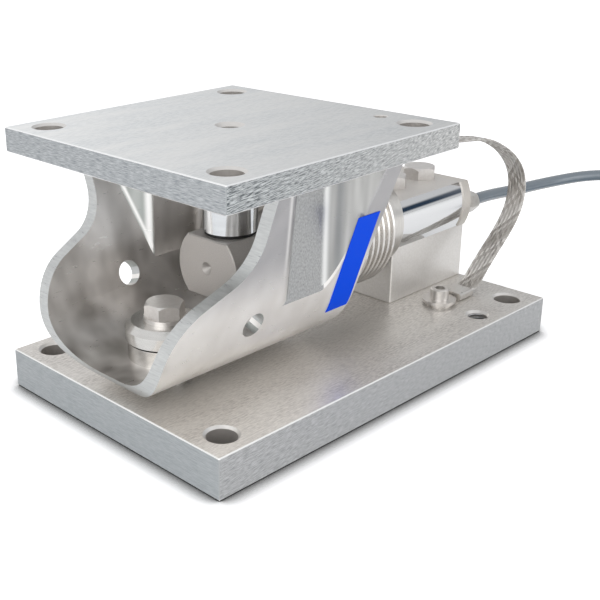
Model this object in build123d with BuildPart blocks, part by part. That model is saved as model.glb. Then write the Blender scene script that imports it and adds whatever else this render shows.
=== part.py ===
from build123d import *
import math
import os

# Weighing module: a shear-beam cell with metal bellows, clamped to a base plate, carries
# a square load plate through a rocker pin. A folded yoke hangs from the load plate and
# passes under the free end of the cell, where a hold-down bolt limits its lift.
# Frame: origin in the middle of the base plate's underside, +X towards the cable, +Z up.

# Base plate
base_length = 250.0
base_width = 150.0
base_thickness = 20.0
base_hole_inset_x = 15.0
base_hole_inset_y = 14.0
plate_edge_break = 0.6
fixing_hole_diameter = 14.0
fixing_hole_rim_diameter = 16.4
jack_hole_x = 78.0
jack_hole_y = -63.0
jack_hole_diameter = 10.2
jack_hole_rim_diameter = 12.8

# Load plate, square, centred over the rocker pin
plate_side = 150.0
plate_thickness = 12.0
plate_hole_inset = 15.0
plate_bottom_z = 121.0
pin_x = -45.0
centre_hole_rim_diameter = 14.2

# Yoke, one folded sheet under the load plate
sheet_thickness = 6.5
yoke_floor_clearance = 4.0
yoke_floor_half_width = 7.0
yoke_bend_radius = 40.0
yoke_wall_lean = 19.0
yoke_front_x = -84.0
yoke_front_straight = 21.0
yoke_hollow_radius = 22.0
yoke_swing_angle = 65.0
yoke_swing_straight = 15.0
yoke_nose_radius = 30.0
yoke_nose_sweep = 115.0
yoke_back_x = -3.0
yoke_back_slope = 4.0
yoke_back_corner_radius = 9.0
yoke_hole_x = -76.4
yoke_hole_z = 55.4
yoke_hole_diameter = 12.5

# Flat bay pressed into each wall of the yoke
bay_half_gap = 48.0
bay_front_x = -55.5
bay_front_lean = 40.0
bay_back_x = -34.5
bay_sweep_radius = 15.0
bay_sweep_angle = 58.0
bay_reach = 40.0
bay_outer_fold_radius = 9.0
bay_sharp_fold_radius = 2.0

# Bare label on one wall of the yoke
label_thickness = 0.25
label_width = 15.5
label_bottom_z = 44.5
label_top_z = 96.0
label_back_inset = 1.5

# Load cell, turned about a level axis
cell_axis_z = 66.0
cell_flat_half_height = 15.0
cell_tip_x = -61.0
cell_tip_radius = 20.0
cell_tip_flat_length = 49.0
cell_edge_break = 0.6
cell_centre_mark_diameter = 6.5
cell_neck_front_x = -2.0
cell_neck_back_x = 44.0
cell_neck_radius = 15.0
cell_shoulder_radius = 22.0
cell_clamp_x = 56.5
cell_clamp_radius = 26.5
clamp_flat_half_height = 13.0
cell_back_x = 113.0
gauge_pocket_diameter = 18.0
cell_web_thickness = 5.0
gauge_side = 7.0
gauge_thickness = 0.4
cap_thickness = 8.0
cap_radius = 27.2
cap_bevel = 1.6

# Bellows round the neck of the cell, welded to a ring at each end
bellows_crest_radius = 33.0
bellows_root_radius = 27.0
bellows_turns = 11
bellows_wall = 0.8
bellows_crest_share = 0.3
ring_radius = 27.6
front_ring_length = 6.0

# Clamp under the back half of the cell
block_setback = 1.0
block_length = 66.5
block_width = 41.0
block_edge_break = 0.5
clamp_bolt_first_x = 79.5
clamp_bolt_pitch = 27.0
clamp_bolt_length = 75.0
bolt_diameter = 10.0
bolt_clearance = 0.5
hex_across_flats = 17.0
hex_height = 6.6
hex_turn = 33.0
thread_clearance = 0.1
screw_end_clearance = 1.5

# Rocker pin and its bearings
pin_diameter = 12.0
pin_length = 36.0
pin_end_radius = 24.0
pin_bore_diameter = 16.0
pin_bore_depth = 19.0
bearing_thickness = 5.0
bearing_fit = 0.05
cup_diameter = 26.6
cup_gap = 1.7
spigot_diameter = 10.0
spigot_fit = 0.2
spigot_recess = 4.5
seal_outer_diameter = 25.0
seal_fit = 0.2

# Hold-down bolt and what it clamps to the base plate
hold_down_x = -88.0
spacer_diameter = 20.0
lift_boss_diameter = 36.0
lift_boss_height = 8.0
side_clearance = 3.0
lift_clearance = 1.2
collar_diameter = 38.0
collar_top_diameter = 32.0
collar_height = 8.6
collar_bevel_height = 3.0
plain_washer_diameter = 20.0
plain_washer_thickness = 2.0
hold_down_bolt_length = 45.0

# Ground strap between the two plates, a lug, washer and socket screw at each end
strap_y = -39.0
upper_screw_x = 17.0
lower_screw_x = 77.0
strap_width = 12.0
strap_thickness = 2.0
lug_thickness = 1.5
lug_ring_diameter = 15.0
lug_tongue_width = 9.0
lug_barrel_start = 9.5
lug_barrel_length = 12.0
lug_barrel_wall = 1.0
lug_barrel_fit = 0.2
lug_barrel_lift = 0.1
lug_barrel_rounding = 0.3
strap_straight = 3.0
strap_washer_diameter = 18.0
strap_washer_thickness = 1.6
screw_diameter = 6.0
screw_length = 14.0
screw_head_diameter = 10.0
screw_head_height = 6.0
screw_edge_break = 0.5
socket_across_flats = 5.0
socket_depth = 3.0
screw_hole_rim_diameter = 7.2

# Cable gland, screwed into the end cap beside the clamp bolts
gland_y = -17.0
gland_z = 62.0
gland_body_across_flats = 13.0
gland_body_length = 5.0
gland_stub_diameter = 9.0
gland_stub_length = 7.0
gland_neck_diameter = 8.8
gland_neck_gap = 1.5
gland_thread_length = 4.0
gland_nut_across_flats = 11.0
gland_nut_length = 9.0
gland_nut_bevel = 1.0
gland_nut_turn = 12.0
gland_cable_fit = 0.2

# Signal cable: a run to the floor, a coil that lies flat, and a stripped end
cable_diameter = 7.0
coil_centre_x = 343.0
coil_centre_y = -99.5
coil_mean_radius = 46.0
coil_turns_across = 5
coil_layers = 2
coil_edge_radius = 3.0
lead_diameter = 1.4
lead_gap = 0.1
lead_length = 26.0
lead_count = 4
lead_fan = 7.0

# Levels and places that follow from the sizes
yoke_bottom_z = base_thickness + yoke_floor_clearance
yoke_floor_z = yoke_bottom_z + sheet_thickness
cell_top_z = cell_axis_z + cell_flat_half_height
clamp_top_z = cell_axis_z + clamp_flat_half_height
clamp_bottom_z = cell_axis_z - clamp_flat_half_height
clamp_bolt_last_x = clamp_bolt_first_x + clamp_bolt_pitch
cap_back_x = cell_back_x + cap_thickness
lift_boss_top_z = yoke_floor_z + lift_boss_height
spacer_top_z = lift_boss_top_z + lift_clearance
collar_top_z = spacer_top_z + collar_height
hold_down_seat_z = collar_top_z + plain_washer_thickness
pin_bottom_z = cell_top_z - pin_bore_depth + bearing_thickness
pin_top_z = pin_bottom_z + pin_length
cup_bore_top_z = pin_top_z + bearing_thickness
lug_barrel_height = strap_thickness + 2 * (lug_barrel_fit + lug_barrel_wall)
lug_barrel_width = strap_width + 2 * (lug_barrel_fit + lug_barrel_wall)
strap_offset = lug_barrel_lift + lug_barrel_height / 2
screw_seat_offset = lug_thickness + strap_washer_thickness
screw_hole_depth = screw_length - screw_seat_offset + screw_end_clearance
gland_neck_end_x = cap_back_x + gland_body_length + gland_neck_gap + gland_thread_length
cable_radius = cable_diameter / 2
coil_width = coil_turns_across * cable_diameter
coil_start_y = coil_centre_y + coil_mean_radius + (coil_width - cable_diameter) / 2
coil_top_level = (coil_layers - 0.5) * cable_diameter
bellows_pitch = (cell_neck_back_x - cell_neck_front_x) / bellows_turns

os.makedirs("parts", exist_ok=True)


def save(piece, name):
    """Labels a finished piece and writes it to a file of its own."""
    piece.part.label = name
    export_step(piece.part, f"parts/{name}.step")


def hexagon_bolt(x, y, seat_z, length):
    """A bolt that hangs from its seat, with a bevelled crown on its head."""
    seat = Plane((x, y, seat_z))
    with BuildPart() as bolt:
        with BuildSketch(seat):
            RegularPolygon(hex_across_flats / 2, 6, major_radius=False, rotation=hex_turn)
        extrude(amount=hex_height)
        with BuildSketch(seat):
            Circle(hex_across_flats / 2 + hex_height)
        extrude(amount=hex_height, taper=45, mode=Mode.INTERSECT)
        with BuildSketch(seat):
            Circle(bolt_diameter / 2)
        extrude(amount=-length)
        chamfer(bolt.edges().group_by(Axis.Z)[0], bolt_diameter / 10)
    return bolt


def socket_screw(seat):
    """A cap screw whose head stands on the given plane, with a hexagon socket."""
    with BuildPart() as screw:
        with BuildSketch(seat):
            Circle(screw_head_diameter / 2)
        extrude(amount=screw_head_height)
        with BuildSketch(seat):
            Circle(screw_diameter / 2)
        extrude(amount=-screw_length)
        round_edges = screw.edges().filter_by(GeomType.CIRCLE)
        rims = round_edges.sort_by(lambda edge: seat.to_local_coords(edge.center()).Z)
        chamfer([rims[0], rims[-1]], screw_edge_break)
        with BuildSketch(seat.offset(screw_head_height)):
            RegularPolygon(socket_across_flats / 2, 6, major_radius=False)
        extrude(amount=-socket_depth, mode=Mode.SUBTRACT)
    return screw


def cable_lug(seat):
    """A ring and tongue that lie on the given plane, with a flat barrel for the strap."""
    with BuildPart() as lug:
        with BuildSketch(seat):
            Circle(lug_ring_diameter / 2)
            with Locations((lug_barrel_start / 2, 0)):
                Rectangle(lug_barrel_start + 2 * lug_barrel_wall, lug_tongue_width)
        extrude(amount=lug_thickness)
        mouth_centre = seat.from_local_coords((lug_barrel_start, 0, strap_offset))
        mouth = Plane(mouth_centre, x_dir=seat.y_dir, z_dir=seat.x_dir)
        with BuildSketch(mouth):
            RectangleRounded(lug_barrel_width, lug_barrel_height, lug_barrel_height * lug_barrel_rounding)
        extrude(amount=lug_barrel_length)
        with BuildSketch(mouth.offset(2 * lug_barrel_wall)):
            Rectangle(strap_width + 2 * lug_barrel_fit, strap_thickness + 2 * lug_barrel_fit)
        extrude(amount=lug_barrel_length, mode=Mode.SUBTRACT)
        with BuildSketch(seat):
            Circle(screw_diameter / 2 + lug_barrel_fit)
        extrude(amount=lug_thickness, mode=Mode.SUBTRACT)
    return lug


def ring(seat, outer_diameter, inner_diameter, height):
    """A plain ring that stands on the given plane, or a disc where it has no bore."""
    with BuildPart() as band:
        with BuildSketch(seat):
            Circle(outer_diameter / 2)
            if inner_diameter > 0:
                Circle(inner_diameter / 2, mode=Mode.SUBTRACT)
        extrude(amount=height)
    return band


def yoke_section(inset):
    """Half of the yoke's section in Y and Z, drawn inwards from its outside by the inset."""
    with BuildSketch(Plane.YZ) as section:
        with BuildLine():
            floor = Line((0, yoke_bottom_z + inset), (yoke_floor_half_width, yoke_bottom_z + inset))
            bend = JernArc(floor @ 1, floor % 1, yoke_bend_radius - inset, 90 - yoke_wall_lean)
            rise = plate_bottom_z - (bend @ 1).Y
            wall = PolarLine(bend @ 1, rise, direction=bend % 1, length_mode=LengthMode.VERTICAL)
            Line(wall @ 1, (0, plate_bottom_z))
            mirror(about=Plane.YZ)
        make_face()
    return section.sketch


# Base plate, with four fixing holes, a tapped jacking hole and the tapped holes for its screws
with BuildPart() as base_plate:
    with BuildSketch():
        Rectangle(base_length, base_width)
    extrude(amount=base_thickness)
    chamfer(base_plate.edges(), plate_edge_break)
    with Locations(Plane.XY.offset(base_thickness)):
        with GridLocations(base_length - 2 * base_hole_inset_x, base_width - 2 * base_hole_inset_y, 2, 2):
            CounterSinkHole(fixing_hole_diameter / 2, fixing_hole_rim_diameter / 2, counter_sink_angle=90)
        with Locations((jack_hole_x, jack_hole_y)):
            CounterSinkHole(jack_hole_diameter / 2, jack_hole_rim_diameter / 2, counter_sink_angle=90)
        with Locations((hold_down_x, 0), (clamp_bolt_first_x, 0), (clamp_bolt_last_x, 0)):
            Hole(bolt_diameter / 2 + thread_clearance)
        with Locations((lower_screw_x, strap_y)):
            Hole(screw_diameter / 2 + thread_clearance, depth=screw_hole_depth)
save(base_plate, "base_plate")

# Load plate, with four fixing holes, the centre hole over the cup and the strap screw's hole
with BuildPart() as top_plate:
    with BuildSketch(Plane((pin_x, 0, plate_bottom_z))):
        Rectangle(plate_side, plate_side)
    extrude(amount=plate_thickness)
    chamfer(top_plate.edges(), plate_edge_break)
    with Locations(Plane((pin_x, 0, plate_bottom_z + plate_thickness))):
        with GridLocations(plate_side - 2 * plate_hole_inset, plate_side - 2 * plate_hole_inset, 2, 2):
            CounterSinkHole(fixing_hole_diameter / 2, fixing_hole_rim_diameter / 2, counter_sink_angle=90)
        spigot_hole_radius = spigot_diameter / 2 + spigot_fit
        CounterSinkHole(spigot_hole_radius, centre_hole_rim_diameter / 2, counter_sink_angle=90)
    with Locations((upper_screw_x, strap_y, plate_bottom_z + plate_thickness)):
        screw_hole_radius = screw_diameter / 2 + thread_clearance
        CounterSinkHole(screw_hole_radius, screw_hole_rim_diameter / 2, counter_sink_angle=90)
save(top_plate, "top_plate")

# Flat bays in plan, and the space that the sheet leaves inside when the bays are pressed in
with BuildPart() as bays:
    with BuildSketch() as bay_plan:
        with BuildLine():
            panel = Line((bay_front_x, bay_half_gap), (bay_back_x, bay_half_gap))
            curve = JernArc(panel @ 1, panel % 1, bay_sweep_radius, bay_sweep_angle)
            back = PolarLine(curve @ 1, bay_reach, direction=curve % 1)
            front = PolarLine(panel @ 0, bay_reach, angle=90 + bay_front_lean)
            Line(back @ 1, front @ 1)
        make_face()
        mirror(about=Plane.XZ)
    extrude(amount=plate_bottom_z)

outer_section = yoke_section(0)
inner_section = yoke_section(sheet_thickness)
label_section = yoke_section(-label_thickness)

with BuildPart() as yoke_inside:
    extrude(inner_section, amount=plate_side, both=True)
    with BuildSketch():
        offset(bay_plan.sketch, amount=sheet_thickness, kind=Kind.INTERSECTION)
    extrude(amount=plate_bottom_z, mode=Mode.SUBTRACT)

# Side view of the yoke: straight front edges that swing out to a rounded nose below
with BuildPart() as yoke_outline:
    with BuildSketch(Plane.XZ):
        with BuildLine():
            front_end_z = plate_bottom_z - yoke_front_straight
            front_edge = Line((yoke_front_x, plate_bottom_z), (yoke_front_x, front_end_z))
            hollow = JernArc(front_edge @ 1, front_edge % 1, yoke_hollow_radius, -yoke_swing_angle)
            swing = PolarLine(hollow @ 1, yoke_swing_straight, direction=hollow % 1)
            nose = JernArc(swing @ 1, swing % 1, yoke_nose_radius, yoke_nose_sweep)
            sole = Line(nose @ 1, (yoke_back_x - yoke_back_slope, yoke_bottom_z))
            Polyline(sole @ 1, (yoke_back_x, plate_bottom_z), front_edge @ 0)
        make_face()
    extrude(amount=plate_side, both=True)
    heel_point = (yoke_back_x - yoke_back_slope, 0, yoke_bottom_z)
    heel = yoke_outline.edges().filter_by(Axis.Y).sort_by_distance(heel_point)
    fillet(heel[0], yoke_back_corner_radius)

# Yoke, one sheet folded to a deep trough with leaning walls, and a bay pressed into each wall
with BuildPart() as yoke:
    extrude(outer_section, amount=plate_side, both=True)
    add(bays.part, mode=Mode.SUBTRACT)
    add(yoke_inside.part, mode=Mode.SUBTRACT)
    add(yoke_outline.part, mode=Mode.INTERSECT)
    with Locations(Plane((hold_down_x, 0, yoke_floor_z))):
        Hole(spacer_diameter / 2 + side_clearance, depth=2 * sheet_thickness)
    bend_end = yoke_bend_radius * math.sin(math.radians(yoke_wall_lean))
    bend_end_z = yoke_bottom_z + yoke_bend_radius - bend_end
    bend_end_y = yoke_floor_half_width + yoke_bend_radius * math.cos(math.radians(yoke_wall_lean))
    wall_y = bend_end_y + (yoke_hole_z - bend_end_z) * math.tan(math.radians(yoke_wall_lean))
    for side in (1, -1):
        outward = Vector(0, side, 0).rotate(Axis.X, -side * yoke_wall_lean)
        with BuildSketch(Plane((yoke_hole_x, side * wall_y, yoke_hole_z), z_dir=outward)):
            Circle(yoke_hole_diameter / 2)
        extrude(amount=2 * sheet_thickness, both=True, mode=Mode.SUBTRACT)
    fold_z = (yoke_hole_z + plate_bottom_z) / 2
    outer_fold_y = bend_end_y + (fold_z - bend_end_z) * math.tan(math.radians(yoke_wall_lean))
    outer_fold_x = bay_front_x - (outer_fold_y - bay_half_gap) * math.tan(math.radians(bay_front_lean))
    panel_inside_y = bay_half_gap - sheet_thickness
    for side in (1, -1):
        straight_edges = yoke.edges().filter_by(GeomType.LINE)
        outer_fold = straight_edges.sort_by_distance((outer_fold_x, side * outer_fold_y, fold_z))[0]
        panel_fold = straight_edges.sort_by_distance((bay_front_x, side * bay_half_gap, fold_z))[0]
        inner_fold = straight_edges.sort_by_distance((bay_front_x, side * panel_inside_y, fold_z))[0]
        fillet(outer_fold, bay_outer_fold_radius)
        fillet([panel_fold, inner_fold], bay_sharp_fold_radius)
save(yoke, "yoke")

# Bare label that follows the outside of one wall, its ends square to the wall's edge
with BuildPart() as label:
    extrude(label_section, amount=plate_side, both=True)
    extrude(outer_section, amount=plate_side, both=True, mode=Mode.SUBTRACT)
    label_lean = math.degrees(math.atan(yoke_back_slope / (plate_bottom_z - yoke_bottom_z)))
    label_drop = yoke_back_slope * (plate_bottom_z - label_top_z) / (plate_bottom_z - yoke_bottom_z)
    label_back_x = yoke_back_x - label_drop - label_back_inset
    label_corner = Plane((label_back_x, 0, label_top_z), x_dir=(1, 0, 0), z_dir=(0, -1, 0))
    with BuildSketch(label_corner.rotated((0, 0, -label_lean))):
        Rectangle(label_width, label_top_z - label_bottom_z, align=(Align.MAX, Align.MAX))
    extrude(amount=plate_side, mode=Mode.INTERSECT)
save(label, "label")

# Load cell: a round bar with flats at both ends and a gauge pocket in each side of its neck
with BuildPart() as load_cell_body:
    with BuildSketch(Plane.XZ):
        with BuildLine():
            Polyline(
                (cell_tip_x, cell_axis_z),
                (cell_tip_x, cell_axis_z + cell_tip_radius),
                (cell_neck_front_x, cell_axis_z + cell_tip_radius),
                (cell_neck_front_x, cell_axis_z + cell_neck_radius),
                (cell_neck_back_x, cell_axis_z + cell_neck_radius),
                (cell_neck_back_x, cell_axis_z + cell_shoulder_radius),
                (cell_clamp_x, cell_axis_z + cell_shoulder_radius),
                (cell_clamp_x, cell_axis_z + cell_clamp_radius),
                (cell_back_x, cell_axis_z + cell_clamp_radius),
                (cell_back_x, cell_axis_z),
                close=True,
            )
        make_face()
    revolve(axis=Axis((0, 0, cell_axis_z), (1, 0, 0)))
    tip_end = cell_tip_x + cell_tip_flat_length
    tip_flats = (cell_tip_x, tip_end, cell_flat_half_height)
    clamp_flats = (cell_clamp_x, cell_back_x, clamp_flat_half_height)
    for start, stop, half_height in (tip_flats, clamp_flats):
        with BuildSketch(Plane.YZ.offset(start)):
            with Locations((0, cell_axis_z)):
                Rectangle(2 * cap_radius, 2 * cap_radius)
                Rectangle(2 * cap_radius, 2 * half_height, mode=Mode.SUBTRACT)
        extrude(amount=stop - start, mode=Mode.SUBTRACT)
    chamfer(load_cell_body.faces().sort_by(Axis.X)[0].edges(), cell_edge_break)
    with Locations((pin_x, 0, cell_top_z)):
        Hole(pin_bore_diameter / 2, depth=pin_bore_depth)
    with Locations((clamp_bolt_first_x, 0, clamp_top_z), (clamp_bolt_last_x, 0, clamp_top_z)):
        Hole(bolt_diameter / 2 + bolt_clearance)
    neck_middle_x = (cell_neck_front_x + cell_neck_back_x) / 2
    with BuildSketch(Plane.XZ):
        with Locations((neck_middle_x, cell_axis_z)):
            Circle(gauge_pocket_diameter / 2)
    extrude(amount=cell_neck_radius, both=True, mode=Mode.SUBTRACT)
    with BuildSketch(Plane.XZ):
        with Locations((neck_middle_x, cell_axis_z)):
            Circle(gauge_pocket_diameter / 2)
    extrude(amount=cell_web_thickness / 2, both=True)
    with BuildSketch(Plane.YZ.offset(cell_tip_x)):
        with Locations((0, cell_axis_z)):
            Circle(cell_centre_mark_diameter / 2)
    extrude(amount=0.45 * cell_centre_mark_diameter, taper=45, mode=Mode.SUBTRACT)
    with BuildSketch(Plane.YZ.offset(cell_back_x)):
        with Locations((gland_y, gland_z)):
            Circle(gland_stub_diameter / 2 + thread_clearance)
    extrude(amount=-gland_stub_length, mode=Mode.SUBTRACT)
save(load_cell_body, "load_cell_body")

# End cap, screwed flat against the back of the cell
with BuildPart() as cell_end_cap:
    with BuildSketch(Plane.YZ.offset(cell_back_x)):
        with Locations((0, cell_axis_z)):
            Circle(cap_radius)
            Rectangle(2 * cap_radius, 2 * clamp_flat_half_height, mode=Mode.INTERSECT)
    extrude(amount=cap_thickness)
    chamfer(cell_end_cap.faces().sort_by(Axis.X)[-1].edges(), cap_bevel)
    with BuildSketch(Plane.YZ.offset(cell_back_x)):
        with Locations((gland_y, gland_z)):
            Circle(gland_stub_diameter / 2 + thread_clearance)
    extrude(amount=cap_thickness, mode=Mode.SUBTRACT)
save(cell_end_cap, "cell_end_cap")

# Strain gauges, one on each side of the web
with BuildPart() as strain_gauges:
    for side in (1, -1):
        web_face = (neck_middle_x, side * cell_web_thickness / 2, cell_axis_z)
        with BuildSketch(Plane(web_face, z_dir=(0, side, 0))):
            Rectangle(gauge_side, gauge_side, rotation=45)
        extrude(amount=gauge_thickness)
save(strain_gauges, "strain_gauges")

# Bellows, one thin wall turned in deep waves
with BuildPart() as bellows:
    with BuildSketch(Plane.XZ):
        outside = [(cell_neck_front_x, cell_axis_z + bellows_root_radius)]
        inside = [(cell_neck_front_x, cell_axis_z + bellows_root_radius - bellows_wall)]
        for turn in range(bellows_turns):
            middle = cell_neck_front_x + (turn + 0.5) * bellows_pitch
            crest = bellows_pitch * bellows_crest_share / 2
            foot = bellows_pitch / 2
            outside.append((middle - crest, cell_axis_z + bellows_crest_radius - crest))
            outside.append((middle, cell_axis_z + bellows_crest_radius))
            outside.append((middle + crest, cell_axis_z + bellows_crest_radius - crest))
            outside.append((middle + foot, cell_axis_z + bellows_root_radius))
            inside.append((middle, cell_axis_z + bellows_crest_radius - 2 * bellows_wall))
            inside.append((middle + foot, cell_axis_z + bellows_root_radius - bellows_wall))
        with BuildLine():
            Polyline(outside + inside[::-1], close=True)
        make_face()
    revolve(axis=Axis((0, 0, cell_axis_z), (1, 0, 0)))
save(bellows, "bellows")

front_ring_x = cell_neck_front_x - front_ring_length
front_seat = Plane((front_ring_x, 0, cell_axis_z), z_dir=(1, 0, 0))
bellows_front_collar = ring(front_seat, 2 * ring_radius, 2 * cell_tip_radius, front_ring_length)
save(bellows_front_collar, "bellows_front_collar")

rear_seat = Plane((cell_neck_back_x, 0, cell_axis_z), z_dir=(1, 0, 0))
rear_ring_length = cell_clamp_x - cell_neck_back_x
bellows_rear_collar = ring(rear_seat, 2 * ring_radius, 2 * cell_shoulder_radius, rear_ring_length)
save(bellows_rear_collar, "bellows_rear_collar")

# Spacer block between the base plate and the flat under the cell
with BuildPart() as spacer_block:
    block_middle_x = cell_clamp_x + block_setback + block_length / 2
    with BuildSketch(Plane((block_middle_x, 0, base_thickness))):
        Rectangle(block_length, block_width)
    extrude(amount=clamp_bottom_z - base_thickness)
    chamfer(spacer_block.edges(), block_edge_break)
    with Locations((clamp_bolt_first_x, 0, clamp_bottom_z), (clamp_bolt_last_x, 0, clamp_bottom_z)):
        Hole(bolt_diameter / 2 + bolt_clearance)
save(spacer_block, "spacer_block")

# The two bolts through cell and block into the base plate
with BuildPart() as clamp_bolts:
    add(hexagon_bolt(clamp_bolt_first_x, 0, clamp_top_z, clamp_bolt_length).part)
    add(hexagon_bolt(clamp_bolt_last_x, 0, clamp_top_z, clamp_bolt_length).part)
save(clamp_bolts, "clamp_bolts")

# Rocker pin with domed ends between two hardened discs, under a cup in the load plate
with BuildPart() as rocker_pin:
    with BuildSketch(Plane((pin_x, 0, pin_bottom_z))):
        Circle(pin_diameter / 2)
    extrude(amount=pin_length)
    for dome_z in (pin_bottom_z + pin_end_radius, pin_top_z - pin_end_radius):
        with Locations((pin_x, 0, dome_z)):
            Sphere(pin_end_radius, mode=Mode.INTERSECT)
save(rocker_pin, "rocker_pin")

bearing_diameter = pin_bore_diameter - 2 * bearing_fit
lower_bearing_seat = Plane((pin_x, 0, pin_bottom_z - bearing_thickness))
lower_bearing_insert = ring(lower_bearing_seat, bearing_diameter, 0, bearing_thickness)
save(lower_bearing_insert, "lower_bearing_insert")

with BuildPart() as bearing_cup:
    with BuildSketch(Plane((pin_x, 0, cell_top_z + cup_gap))):
        Circle(cup_diameter / 2)
    extrude(amount=plate_bottom_z - cell_top_z - cup_gap)
    with BuildSketch(Plane((pin_x, 0, plate_bottom_z))):
        Circle(spigot_diameter / 2)
    extrude(amount=plate_thickness - spigot_recess)
    with BuildSketch(Plane((pin_x, 0, cell_top_z + cup_gap))):
        Circle(pin_bore_diameter / 2)
    extrude(amount=cup_bore_top_z - cell_top_z - cup_gap, mode=Mode.SUBTRACT)
save(bearing_cup, "bearing_cup")

# Black seal ring round the pin, between the cell and the cup
seal_seat = Plane((pin_x, 0, cell_top_z))
pin_seal = ring(seal_seat, seal_outer_diameter, pin_diameter + 2 * seal_fit, cup_gap)
save(pin_seal, "pin_seal")

upper_bearing_insert = ring(Plane((pin_x, 0, pin_top_z)), bearing_diameter, 0, bearing_thickness)
save(upper_bearing_insert, "upper_bearing_insert")

# Hold-down: a boss on the yoke's floor moves freely round a spacer that the bolt clamps
with BuildPart() as hold_down_boss:
    with BuildSketch(Plane((hold_down_x, 0, yoke_floor_z))):
        Circle(lift_boss_diameter / 2)
        Circle(spacer_diameter / 2 + side_clearance, mode=Mode.SUBTRACT)
    extrude(amount=lift_boss_height)
    extrude(inner_section, amount=plate_side, both=True, mode=Mode.INTERSECT)
save(hold_down_boss, "hold_down_boss")

bolt_hole_diameter = bolt_diameter + 2 * bolt_clearance
spacer_seat = Plane((hold_down_x, 0, base_thickness))
hold_down_spacer = ring(spacer_seat, spacer_diameter, bolt_hole_diameter, spacer_top_z - base_thickness)
save(hold_down_spacer, "hold_down_spacer")

with BuildPart() as hold_down_collar:
    with BuildSketch(Plane((hold_down_x, 0, spacer_top_z))):
        Circle(collar_diameter / 2)
    extrude(amount=collar_height)
    crown_edge = hold_down_collar.edges().group_by(Axis.Z)[-1]
    chamfer(crown_edge, collar_bevel_height, (collar_diameter - collar_top_diameter) / 2)
    with Locations((hold_down_x, 0, collar_top_z)):
        Hole(bolt_hole_diameter / 2)
save(hold_down_collar, "hold_down_collar")

washer_seat = Plane((hold_down_x, 0, collar_top_z))
hold_down_washer = ring(washer_seat, plain_washer_diameter, bolt_hole_diameter, plain_washer_thickness)
save(hold_down_washer, "hold_down_washer")

hold_down_bolt = hexagon_bolt(hold_down_x, 0, hold_down_seat_z, hold_down_bolt_length)
save(hold_down_bolt, "hold_down_bolt")

# Ground strap ends: under the load plate, and on the base plate
upper_seat = Plane((upper_screw_x, strap_y, plate_bottom_z), x_dir=(1, 0, 0), z_dir=(0, 0, -1))
lower_seat = Plane((lower_screw_x, strap_y, base_thickness))

strap_lug_upper = cable_lug(upper_seat)
save(strap_lug_upper, "strap_lug_upper")

strap_lug_lower = cable_lug(lower_seat)
save(strap_lug_lower, "strap_lug_lower")

washer_bore = screw_diameter + 2 * lug_barrel_fit
upper_washer_seat = upper_seat.offset(lug_thickness)
strap_washer_upper = ring(upper_washer_seat, strap_washer_diameter, washer_bore, strap_washer_thickness)
save(strap_washer_upper, "strap_washer_upper")

lower_washer_seat = lower_seat.offset(lug_thickness)
strap_washer_lower = ring(lower_washer_seat, strap_washer_diameter, washer_bore, strap_washer_thickness)
save(strap_washer_lower, "strap_washer_lower")

strap_screw_upper = socket_screw(upper_seat.offset(screw_seat_offset))
save(strap_screw_upper, "strap_screw_upper")

strap_screw_lower = socket_screw(lower_seat.offset(screw_seat_offset))
save(strap_screw_lower, "strap_screw_lower")

# Flat braid from barrel to barrel, out past the end of the load plate and round to the base
strap_top_z = plate_bottom_z - strap_offset
strap_foot_z = base_thickness + strap_offset
strap_start_x = upper_screw_x + lug_barrel_start + 2 * lug_barrel_wall
strap_end_x = lower_screw_x + lug_barrel_start + 2 * lug_barrel_wall
strap_corners = [
    (strap_start_x, strap_top_z),
    (upper_screw_x + lug_barrel_start + lug_barrel_length + strap_straight, strap_top_z),
    (74, 111.5),
    (105, 108.5),
    (130, 97.5),
    (145.5, 83),
    (148.5, 67.5),
    (141, 52.5),
    (118, 34.5),
    (105.5, strap_foot_z),
    (strap_end_x, strap_foot_z),
]


def bend_radii(corners):
    """The radius at each inner corner of a route: as large as its two runs allow."""
    points = [Vector(*corner) for corner in corners]
    radii = []
    for before, corner, after in zip(points, points[1:], points[2:]):
        turn = (corner - before).get_angle(after - corner)
        run = min((corner - before).length, (after - corner).length)
        radii.append(0.45 * run / math.tan(math.radians(turn / 2)))
    return radii


with BuildPart() as ground_strap:
    with BuildLine(Plane((0, strap_y, 0), x_dir=(1, 0, 0), z_dir=(0, -1, 0))) as strap_route:
        FilletPolyline(strap_corners, radius=bend_radii(strap_corners))
    with BuildSketch(Plane((strap_start_x, strap_y, strap_top_z), x_dir=(0, 1, 0), z_dir=(1, 0, 0))):
        Rectangle(strap_width, strap_thickness)
    sweep()
save(ground_strap, "ground_strap")

# Cable gland: a body that seats on the end cap, and a nut on its neck round the cable
gland_seat = Plane((cap_back_x, gland_y, gland_z), x_dir=(0, 1, 0), z_dir=(1, 0, 0))
nut_offset = gland_body_length + gland_neck_gap
neck_length = gland_neck_gap + gland_thread_length
with BuildPart() as gland_body:
    with BuildSketch(gland_seat):
        RegularPolygon(gland_body_across_flats / 2, 6, major_radius=False)
    extrude(amount=gland_body_length)
    with BuildSketch(gland_seat.offset(gland_body_length)):
        Circle(gland_neck_diameter / 2)
    extrude(amount=neck_length)
    with BuildSketch(gland_seat):
        Circle(gland_stub_diameter / 2)
    extrude(amount=-gland_stub_length)
save(gland_body, "gland_body")

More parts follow.
